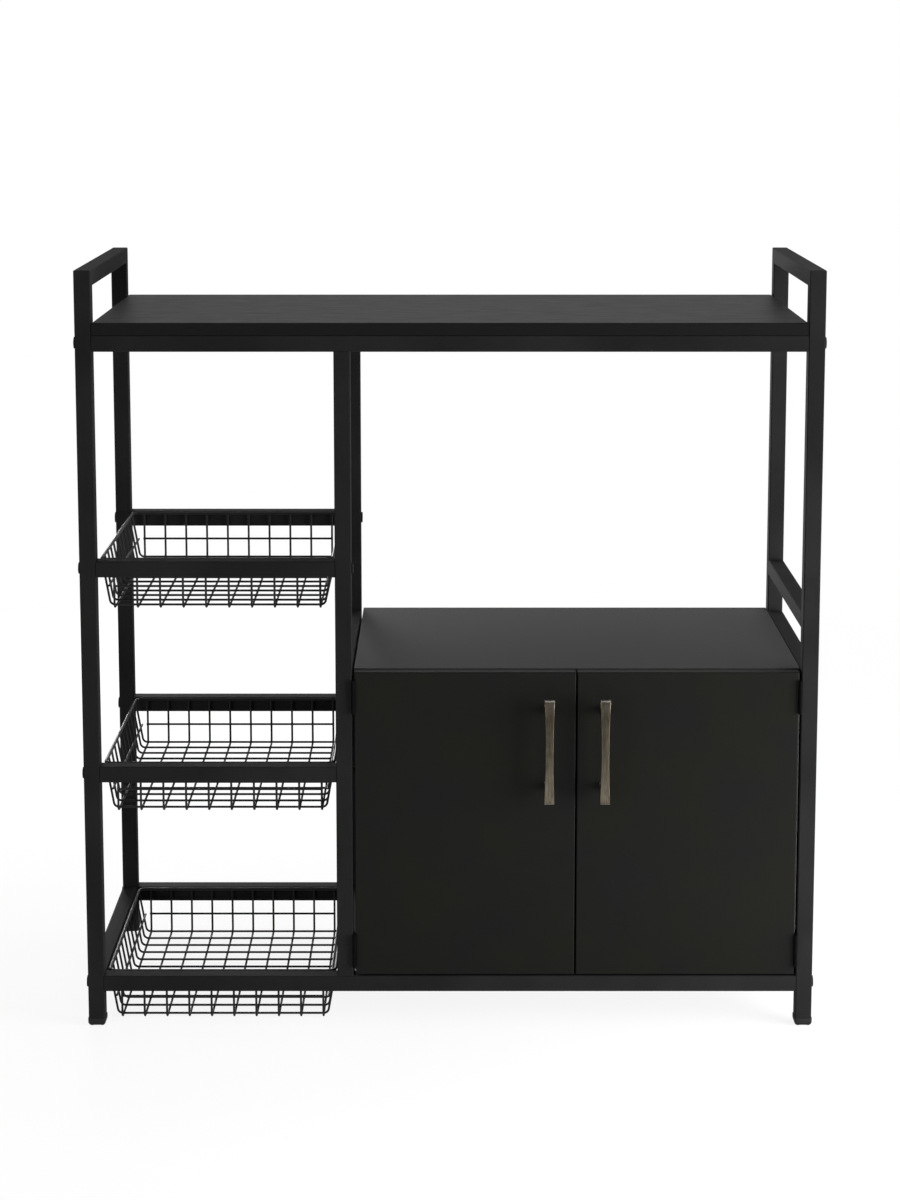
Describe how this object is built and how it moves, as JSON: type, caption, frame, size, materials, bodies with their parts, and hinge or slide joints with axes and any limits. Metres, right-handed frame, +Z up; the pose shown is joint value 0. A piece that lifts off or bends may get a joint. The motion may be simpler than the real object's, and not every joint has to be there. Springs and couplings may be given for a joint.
{
  "type": "kitchen storage rack",
  "caption": "Black steel-tube kitchen rack: top board between raised side loops, lift-out wire baskets on one side, open bay over a cabinet with hinged doors and bow handles.",
  "frame": {"origin": "on the floor, at the middle of the width and of the depth from the handles to the rear feet", "axes": "+Z up, +X towards the cabinet end, +Y from the front to the back"},
  "size_m": [0.904, 0.378, 0.944],
  "materials": {
    "frame_steel": "fine matt black powder coat",
    "board_foil": "black foil with a fine grain on particle board",
    "door_foil": "satin black foil with soft edges on fibre board",
    "back_board": "thin black hardboard",
    "basket_wire": "satin black coated wire",
    "handle_metal": "brushed antique nickel",
    "bolt_steel": "blackened steel",
    "hinge_steel": "blackened steel",
    "zinc_steel": "bright zinc plate",
    "foot_plastic": "moulded black plastic",
    "catch_plastic": "moulded black plastic"
  },
  "bodies": {
    "frame": {"left_front_post": "frame_steel", "left_rear_post": "frame_steel", "middle_front_post": "frame_steel", "middle_rear_post": "frame_steel", "right_front_post": "frame_steel", "right_rear_post": "frame_steel", "left_top_bar": "frame_steel", "right_top_bar": "frame_steel", "left_bottom_side_rail": "frame_steel", "right_bottom_side_rail": "frame_steel", "middle_bottom_cross_rail": "frame_steel", "right_cabinet_rail": "frame_steel", "middle_cabinet_rail": "frame_steel", "right_guard_rail": "frame_steel", "top_front_rail": "frame_steel", "top_rear_rail": "frame_steel", "upper_front_rail": "frame_steel", "upper_rear_rail": "frame_steel", "middle_front_rail": "frame_steel", "middle_rear_rail": "frame_steel", "bottom_front_rail": "frame_steel", "bottom_rear_rail": "frame_steel", "frame_bolts": "bolt_steel", "nut_plates": "zinc_steel", "feet": "foot_plastic", "top_board": "board_foil", "cabinet_top": "board_foil", "cabinet_floor": "board_foil", "cabinet_left_panel": "board_foil", "cabinet_right_panel": "board_foil", "cabinet_back_panel": "back_board", "door_catch": "catch_plastic", "left_hinge_frame_leaves": "hinge_steel", "left_hinge_pins": "zinc_steel", "right_hinge_frame_leaves": "hinge_steel", "right_hinge_pins": "zinc_steel"},
    "left_door": {"left_door": "door_foil", "left_handle": "handle_metal", "left_handle_screws": "zinc_steel", "left_strike_plate": "zinc_steel", "left_hinge_door_leaves": "hinge_steel"},
    "right_door": {"right_door": "door_foil", "right_handle": "handle_metal", "right_handle_screws": "zinc_steel", "right_strike_plate": "zinc_steel", "right_hinge_door_leaves": "hinge_steel"},
    "upper_basket": {"upper_basket": "basket_wire"},
    "middle_basket": {"middle_basket": "basket_wire"},
    "bottom_basket": {"bottom_basket": "basket_wire"}
  },
  "joints": [
    {"name": "left_door_hinge", "type": "hinge", "parent": "frame", "child": "left_door", "pos_m": [-0.1185, -0.1645, 0.2595], "axis": [0, 0, -1], "range_deg": [0, 110]},
    {"name": "right_door_hinge", "type": "hinge", "parent": "frame", "child": "right_door", "pos_m": [0.4285, -0.1645, 0.2595], "axis": [0, 0, 1], "range_deg": [0, 110]},
    {"name": "upper_basket_lift", "type": "slide", "parent": "frame", "child": "upper_basket", "axis": [0, 0, 1], "range_m": [0, 0.075]},
    {"name": "middle_basket_lift", "type": "slide", "parent": "frame", "child": "middle_basket", "axis": [0, 0, 1], "range_m": [0, 0.075]},
    {"name": "bottom_basket_lift", "type": "slide", "parent": "frame", "child": "bottom_basket", "axis": [0, 0, 1], "range_m": [0, 0.075]}
  ]
}
